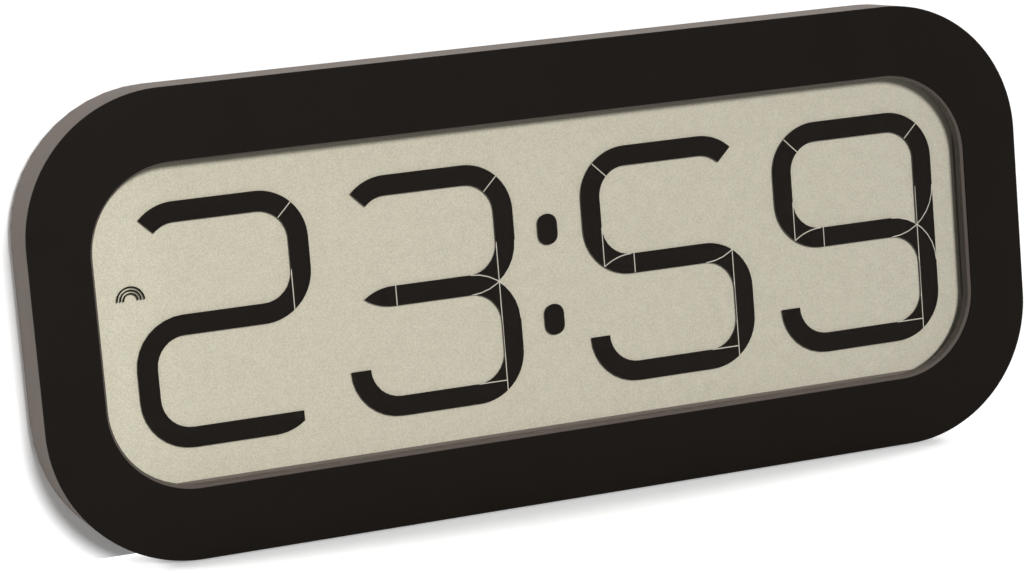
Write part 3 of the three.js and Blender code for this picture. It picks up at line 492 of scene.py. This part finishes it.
def moulded(name, colour, roughness, grain, relief, specular=0.35, mottle=0.06):
    """Moulded plastic or rubber: a fine grain, with slow changes of colour and gloss."""
    finish = Finish(name)
    slow = finish.noise(45.0)
    fine = finish.noise(grain, 3.0)
    cloud = finish.blend(finish.span(slow, 0.0, 1.0), scaled(colour, 1 - mottle), scaled(colour, 1 + mottle))
    speckled = finish.blend(finish.span(fine, 0.0, 0.35), cloud, scaled(colour, 1 - 2 * mottle))
    slow_change = finish.span(slow, roughness - 0.04, roughness + 0.04)
    fine_change = finish.span(fine, -0.03, 0.03)
    return finish.principled(
        Base_Color=speckled,
        Roughness=finish.maths("ADD", slow_change, fine_change),
        Specular_IOR_Level=specular,
        Normal=finish.bump(fine, relief))


def drawn_metal(name, colour, roughness):
    """Plated or drawn metal with faint streaks."""
    finish = Finish(name)
    streaks = finish.noise(900.0, 4.0, (1.0, 1.0, 0.2))
    slow = finish.noise(160.0)
    return finish.principled(
        Base_Color=finish.blend(finish.span(slow, 0.0, 1.0), scaled(colour, 0.9), scaled(colour, 1.06)),
        Roughness=finish.span(streaks, roughness - 0.07, roughness + 0.09),
        Metallic=1.0,
        Normal=finish.bump(streaks, 0.006))


def clear_sheet(name, bend, haze):
    """Coated clear sheet: what lies behind shows, under a faint gloss with a trace of wiping marks.

    Only its front and back shine, so that its hidden edges make no bright lines, and only where they
    are met from outside, so that the sheet stays clear in a slanting view. The coating takes away the
    faint gloss of a view from the front.
    """
    finish = Finish(name)
    marks = finish.noise(30.0, 3.0, (1.0, 1.0, 4.0))
    gloss = finish.add("ShaderNodeBsdfGlossy", Roughness=finish.span(marks, haze, haze * 3))
    through = finish.add("ShaderNodeBsdfTransparent")
    fresnel = finish.add("ShaderNodeFresnel", IOR=bend)
    side = finish.add("ShaderNodeNewGeometry")
    flat = finish.maths("GREATER_THAN", finish.maths("ABSOLUTE", finish.axis("Normal", "Y"), 0.0), FACING)
    outer = finish.maths("MAXIMUM", finish.maths("SUBTRACT", flat, side.outputs["Backfacing"]), 0.0)
    coated = finish.maths("MAXIMUM", finish.maths("SUBTRACT", fresnel.outputs["Fac"], COATING), 0.0)
    shine = finish.maths("MULTIPLY", coated, outer)
    finish.end(finish.mix(shine, through.outputs["BSDF"], gloss.outputs["BSDF"]))
    return finish.material


def pearl_film(name):
    """The grained reflector of the display, with painted light: a little warmer and lighter to the left, and
    lighter still in a strip at its left end where the bezel shades it.
    """
    finish = Finish(name)
    place = finish.axis("Object", "X")
    left = -FILM_PAINTED_FALLOFF_REACH * MM
    # Painted light: the colour falls off from left to right, and a strip at the left end is painted lighter
    # where the bezel shades the film.
    painted_falloff = finish.span(place, 0.0, 1.0, left, FILM_PAINTED_FALLOFF_REACH * MM)
    painted_light_strip = finish.span(place, 1.0, 0.0, left, left + FILM_PAINTED_LIGHT_STRIP * MM)
    even = finish.blend(painted_falloff, linear(201, 194, 174), linear(185, 178, 163))
    ground = finish.blend(painted_light_strip, even, linear(211, 205, 184))
    grain = finish.noise(2100.0, 1.0)
    tint = finish.noise(1500.0, 1.0)
    cloud = finish.noise(260.0, 2.0)
    tinted = finish.blend(finish.span(tint, 0.0, 0.22, 0.45, 0.7), ground, linear(176, 200, 168))
    grained = finish.blend(finish.span(grain, 0.0, 0.34), tinted, linear(128, 118, 108))
    return finish.principled(
        Base_Color=finish.blend(finish.span(cloud, 0.0, 0.06), grained, linear(240, 236, 216)),
        Roughness=0.6,
        Specular_IOR_Level=0.1,
        Normal=finish.bump(grain, 0.01))


def lit_ink(name):
    """The dark lit parts of the display, with pale floors in the fine lines between them."""
    finish = Finish(name)
    grain = finish.noise(1600.0)
    ink = finish.blend(finish.span(grain, 0.0, 1.0), linear(25, 21, 19), linear(29, 26, 23))
    sunk = finish.maths("GREATER_THAN", finish.axis("Object", "Y"), y_at(GROOVE_DEPTH))
    forward = finish.maths("LESS_THAN", finish.axis("Normal", "Y"), -FACING)
    groove = finish.maths("MULTIPLY", sunk, forward)
    return finish.principled(
        Base_Color=finish.blend(groove, ink, linear(196, 191, 178)),
        Roughness=0.55,
        Specular_IOR_Level=0.02)


def lacquered_board(name, colour):
    """Green lacquer over fine copper lines that run along the board."""
    finish = Finish(name)
    lines = finish.wave("Z", Scale=160.0, Distortion=9.0, Detail=1.0, Detail_Scale=0.4)
    tracks = finish.span(lines, 0.0, 1.0, 0.62, 0.72)
    cloud = finish.noise(70.0)
    ground = finish.blend(finish.span(cloud, 0.0, 1.0), scaled(colour, 0.85), scaled(colour, 1.1))
    return finish.principled(
        Base_Color=finish.blend(tracks, ground, scaled(colour, 1.7)),
        Roughness=finish.span(cloud, 0.3, 0.42),
        Specular_IOR_Level=0.5,
        Normal=finish.bump(tracks, 0.03))


def winding(name, colour):
    """Enamelled wire wound side by side along X, with painted shade in the creases between the turns and a
    painted highlight on their crests.
    """
    finish = Finish(name)
    # Painted shade and highlight: the bands darken the copper between the turns and lighten it a little on
    # their crests; the same bands give the turns their relief.
    turns_and_crease_shade = finish.wave("X", Scale=700.0, Distortion=0.6)
    return finish.principled(
        Base_Color=finish.blend(turns_and_crease_shade, scaled(colour, 0.35), scaled(colour, 1.1)),
        Roughness=0.35,
        Metallic=0.85,
        Normal=finish.bump(turns_and_crease_shade, 0.15))


def cell_film(name, colour):
    """Printed film round the cell, with bare metal at its ends."""
    finish = Finish(name)
    along = finish.maths("ABSOLUTE", finish.axis("Normal", "X"), 0.0)
    ends = finish.maths("GREATER_THAN", along, CELL_END_FACING)
    cloud = finish.noise(120.0)
    film = finish.blend(finish.span(cloud, 0.0, 1.0), scaled(colour, 0.9), scaled(colour, 1.08))
    return finish.principled(
        Base_Color=finish.blend(ends, film, linear(196, 198, 202)),
        Roughness=finish.span(cloud, 0.22, 0.34),
        Metallic=ends,
        Specular_IOR_Level=0.5,
        Normal=finish.bump(finish.noise(700.0), 0.01))


def make_finishes():
    """The finish for each slot and each look of a piece's own.

    After its colour, a moulded one has its roughness, the scale and the depth of its grain and, where
    they aren't the usual ones, its specular level and how uneven its colour is.
    """
    return {
        "case_grey": moulded("moulded_grey", linear(96, 88, 82), 0.65, 2400.0, 0.02, 0.08, 0.025),
        # Painted shade: the trim is a darker copy of the case grey, standing for the shade in the window's
        # recess; its lower roughness and higher gloss are its own.
        "window_trim": moulded("trim_satin_painted_shade", linear(90, 82, 77), 0.45, 2400.0, 0.006, 0.12, 0.02),
        "edge_seal": moulded("seal_resin", linear(104, 96, 88), 0.5, 1800.0, 0.01, 0.2, 0.03),
        "face_black": moulded("satin_black", linear(19, 15, 11), 0.4, 2600.0, 0.004, 0.04, 0.03),
        "knob_black": moulded("knob_plastic", linear(34, 33, 32), 0.45, 2200.0, 0.015),
        "foot_rubber": moulded("rubber", linear(30, 29, 28), 0.8, 1500.0, 0.04, 0.25, 0.1),
        "clear_window": clear_sheet("window_sheet", 1.09, 0.03),
        "display_glass": clear_sheet("display_glass", 1.05, 0.01),
        "reflector": pearl_film("pearl_film"),
        "segment_black": lit_ink("lit_ink"),
        "tray_plastic": moulded("tray_plastic", linear(214, 211, 204), 0.5, 1800.0, 0.02, 0.35, 0.03),
        "steel": drawn_metal("plated_steel", linear(184, 188, 192), 0.3),
        "board_green": lacquered_board("board_lacquer", linear(44, 104, 66)),
        "chip_black": moulded("chip_resin", linear(24, 24, 25), 0.5, 1700.0, 0.03),
        "ferrite": moulded("ferrite_grain", linear(46, 46, 49), 0.62, 1200.0, 0.05, 0.4, 0.12),
        "copper": winding("wound_wire", linear(196, 116, 66)),
        "cell_jacket": cell_film("cell_film", linear(64, 112, 142)),
        "wire_red": moulded("red_sleeve", linear(160, 32, 32), 0.4, 1400.0, 0.01),
        "wire_black": moulded("black_sleeve", linear(22, 22, 22), 0.4, 1400.0, 0.01),
    }


# Pieces

def make_face_panel():
    """The satin panel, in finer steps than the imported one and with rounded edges."""
    mesh = bmesh.new()
    add_rings(mesh, [
        (case_outline(0), 0),
        (window_outline(WINDOW_BEVEL), 0),
        (window_outline(WINDOW_BEVEL), PANEL_DEPTH),
        (case_outline(0), PANEL_DEPTH),
    ])
    panel = finish_piece("face_plate", mesh, PANEL_EDGE, "case", "face_black")
    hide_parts("face_panel")


def make_window_trim():
    """The bevelled, slightly glossy inner edge of the window, in a darker copy of the case grey that is
    painted shade of the recess.
    """
    mesh = bmesh.new()
    add_rings(mesh, [
        (window_outline(WINDOW_BEVEL), PANEL_DEPTH),
        (window_outline(0), PANEL_DEPTH + WINDOW_BEVEL),
        (window_outline(0), LIP_DEPTH),
        (window_outline(WINDOW_BEVEL), LIP_DEPTH),
    ])
    finish_piece("window_trim", mesh, FRAME_EDGE, "case", "case_grey", "window_trim")


def make_front_frame():
    """Side walls, the lip round the window outside its trim, and the bosses inside."""
    mesh = bmesh.new()
    add_rings(mesh, [
        (case_outline(0), PANEL_DEPTH),
        (window_outline(WINDOW_BEVEL), PANEL_DEPTH),
        (window_outline(WINDOW_BEVEL), LIP_DEPTH),
        (window_outline(LIP_WIDTH), LIP_DEPTH),
        (window_outline(LIP_WIDTH), FRONT_THICKNESS),
        (case_outline(CASE_WALL), FRONT_THICKNESS),
        (case_outline(CASE_WALL), FRAME_DEPTH),
        (case_outline(0), FRAME_DEPTH),
    ])
    for x, z in REAR_SCREWS:
        add_tube(mesh, x, z, *REAR_BOSS)
    for x, z in LUG_SCREWS:
        add_tube(mesh, x, z, *LUG_BOSS)
    shell = finish_piece("frame_shell", mesh, FRAME_EDGE, "case", "case_grey")
    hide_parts("front_frame")


def let_light_through(piece):
    """Light passes a clear sheet as it is, so that the film behind all the sheets stays lit."""
    piece.visible_shadow = False
    piece.visible_diffuse = False


def make_front_glass():
    """The front glass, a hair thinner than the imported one, so that the lit parts lie clear of it."""
    low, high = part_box("lcd_front_glass")
    width = (high[0] - low[0]) / MM
    height = (high[2] - low[2]) / MM
    middle = (high[2] + low[2]) / 2 / MM
    near = low[1] / MM + CASE_DEPTH / 2
    far = high[1] / MM + CASE_DEPTH / 2 - GLASS_CLEARANCE
    mesh = bmesh.new()
    add_prism(mesh, rounded_rect(width, height, GLASS_CORNER, middle, GLASS_CORNER_STEPS), near, far)
    glass = finish_piece("front_glass", mesh, GLASS_EDGE, "case", "display_glass")
    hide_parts("lcd_front_glass")
    let_light_through(glass)


def make_sign():
    """The display's sign of three arcs."""
    mesh = bmesh.new()
    for radius in SIGN_RADII:
        add_prism(mesh, half_ring(SIGN_X, SIGN_Z, radius, SIGN_LINE), SIGN_NEAR, SIGN_FAR)
    finish_piece("signal_arcs", mesh, 0, "case", "segment_black")


def make_button_marks():
    """Printed marks by the four buttons and the slide: ring, bar, arrows up and down, short and long bar."""
    mode_x, set_x, up_x, down_x = BUTTON_XS
    short_x, long_x = KNOB_MARK_XS
    near = BUTTON_PANEL_DEPTH - MARK_SINK
    far = BUTTON_PANEL_DEPTH + PRINT_RISE
    outlines = [
        bar(set_x, MARK_Z, LONG_BAR),
        arrow(up_x, MARK_Z, MARK_ARROW, True),
        arrow(down_x, MARK_Z, MARK_ARROW, False),
        bar(short_x, MARK_Z, SHORT_BAR),
        bar(long_x, MARK_Z, LONG_BAR),
    ]
    mesh = bmesh.new()
    add_tube(mesh, mode_x, MARK_Z, *MARK_RING, near, far)
    for outline in outlines:
        add_prism(mesh, outline, near, far)
    finish_piece("button_marks", mesh, 0, "case", "tray_plastic")


def make_door_grip():
    """Ribs for the thumb on the battery door, over an arrow that clears the cover when the door is open."""
    mesh = bmesh.new()
    add_ribs(mesh, 0, *DOOR_RIBS)
    add_prism(mesh, arrow(*DOOR_ARROW, False), BACK_DEPTH - MARK_SINK, BACK_DEPTH + RIB_RISE)
    finish_piece("door_grip", mesh, GRIP_EDGE, "battery_door", "case_grey")


def make_leg_grips():
    """Ribs on the two legs of the stand."""
    for side, x in LEG_XS.items():
        mesh = bmesh.new()
        add_ribs(mesh, x, *LEG_RIBS)
        finish_piece(f"leg_grip_{side}", mesh, GRIP_EDGE, f"stand_leg_{side}", "case_grey")


def make_screw_rings():
    """Fine raised rings round the five rear screws, as moulded covers have them."""
    mesh = bmesh.new()
    for x, z in REAR_SCREWS:
        add_tube(mesh, x, z, *SCREW_RING, BACK_DEPTH - MARK_SINK, BACK_DEPTH + PRINT_RISE)
    finish_piece("screw_rings", mesh, RING_EDGE, "case", "case_grey")


def edge_of(name):
    """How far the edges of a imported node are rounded."""
    for start, edge in ROUNDED.items():
        if name.startswith(start):
            return edge
    return 0


def dress_node(node, name, slot):
    """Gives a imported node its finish, and shades its curves smoothly."""
    node.material_slots[0].material = finishes[OWN_LOOKS.get(name, slot)]
    if slot in CLEAR_SLOTS:
        let_light_through(node)
    packed_normals = node.data.attributes.get("custom_normal")
    if packed_normals is not None:
        node.data.attributes.remove(packed_normals)
    shade_smoothly(node.data)
    weld = node.modifiers.new("weld", "WELD")
    weld.merge_threshold = WELD_REACH * MM
    edge = edge_of(name)
    if edge:
        round_edges(node, edge)
    else:
        split = node.modifiers.new("split", "EDGE_SPLIT")
        split.split_angle = SHARP_ANGLE


# Camera, floor, wall and light

def direction(azimuth, elevation):
    """The way from the object towards a place seen at these angles; azimuth 0 lies before the face."""
    a = math.radians(azimuth)
    e = math.radians(elevation)
    return Vector((math.sin(a) * math.cos(e), -math.cos(a) * math.cos(e), math.sin(e)))


def looking(way):
    """The turn of a camera or lamp that looks this way, upright."""
    return way.to_track_quat("-Z", "Y").to_matrix().to_4x4()


def place_camera():
    """Sets up the photograph's view."""
    data = bpy.data.cameras.new("camera")
    data.lens = LENS
    data.sensor_width = SENSOR
    data.clip_start = NEAREST_VIEW
    camera = add_object("camera", data)
    back = direction(CAMERA_AZIMUTH, CAMERA_ELEVATION)
    aim = Vector((AIM_X * MM, y_at(0), AIM_Z * MM))
    roll = Matrix.Rotation(math.radians(CAMERA_ROLL), 4, "Z")
    camera.matrix_world = Matrix.Translation(aim + back * CAMERA_DISTANCE) @ looking(-back) @ roll
    bpy.context.scene.camera = camera


def place_lamp(name, azimuth, elevation, size, strength):
    """Adds soft light from far away."""
    data = bpy.data.lights.new(name, "SUN")
    data.energy = strength
    data.angle = math.radians(size)
    towards = direction(azimuth, elevation)
    add_object(name, data).matrix_world = Matrix.Translation(towards) @ looking(-towards)


def light_world():
    """A soft sky that lights the clock more from behind, and looks plain white itself."""
    world = bpy.data.worlds.new("dome")
    bpy.context.scene.world = world
    world.use_nodes = True
    sky = Nodes(world.node_tree, "ShaderNodeOutputWorld")
    rise = sky.span(sky.axis("Generated", "Z"), DOME_HORIZON, DOME_TOP, 0.0, 1.0)
    behind = sky.span(sky.axis("Generated", "Y"), 0.0, DOME_BEHIND, 0.0, 1.0)
    light = sky.add("ShaderNodeBackground", Color=WHITE, Strength=sky.maths("ADD", rise, behind))
    shown = sky.add("ShaderNodeBackground", Color=WHITE, Strength=1.0)
    sky.end(sky.mix(sky.seen_directly(), light.outputs["Background"], shown.outputs["Background"]))


def backdrop_finish(name, whiteness, shine, one_sided):
    """White that keeps shadows; seen from behind, a one-sided sheet lets everything through."""
    finish = Finish(name)
    bounce = finish.add("ShaderNodeBsdfDiffuse", Color=scaled(WHITE, BACKDROP_BOUNCE))
    white = finish.add("ShaderNodeBsdfDiffuse", Color=scaled(WHITE, whiteness))
    lift = finish.add("ShaderNodeEmission", Color=WHITE, Strength=shine)
    lifted = finish.add("ShaderNodeAddShader")
    finish.put(white.outputs["BSDF"], lifted.inputs[0])
    finish.put(lift.outputs["Emission"], lifted.inputs[1])
    surface = finish.mix(finish.seen_directly(), bounce.outputs["BSDF"], lifted.outputs["Shader"])
    if one_sided:
        side = finish.add("ShaderNodeNewGeometry")
        clear = finish.add("ShaderNodeBsdfTransparent")
        surface = finish.mix(side.outputs["Backfacing"], surface, clear.outputs["BSDF"])
    finish.end(surface)
    return finish.material


def add_sheet(name, corners, material):
    """Adds a flat sheet for the floor or the wall, apart from the clock."""
    data = bpy.data.meshes.new(name)
    data.from_pydata(corners, [], [(0, 1, 2, 3)])
    data.materials.append(material)
    sheet = add_object(name, data)
    return sheet


def place_backdrop(clock_back):
    """A floor under the feet and a wall right behind the clock, which takes its soft shadow."""
    reach = BACKDROP_REACH
    add_sheet("floor", [(-reach, -reach, 0), (reach, -reach, 0), (reach, reach, 0), (-reach, reach, 0)],
              backdrop_finish("floor_white", *FLOOR_WHITE, False))
    y = clock_back + WALL_GAP * MM
    wall = add_sheet("wall", [(-reach, y, 0), (reach, y, 0), (reach, y, reach), (-reach, y, reach)],
                     backdrop_finish("wall_white", *WALL_WHITE, True))
    wall.visible_shadow = False
    wall.visible_diffuse = False


# The scene

for thing in list(bpy.data.objects):
    bpy.data.objects.remove(thing)
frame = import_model()
cad_box = [list(corner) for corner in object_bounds()]
place_camera()
finishes = make_finishes()
for part in frame["record"]["subparts"]:
    dress_node(frame["nodes"][part["node"]], part["node"], part["material_slot"])
make_face_panel()
make_window_trim()
make_front_frame()
make_front_glass()
make_sign()
make_button_marks()
make_door_grip()
make_leg_grips()
make_screw_rings()
for name, setting in LAMPS.items():
    place_lamp(name, *setting)
light_world()
place_backdrop(cad_box[1][1])
bpy.context.scene.view_settings.view_transform = "Standard"
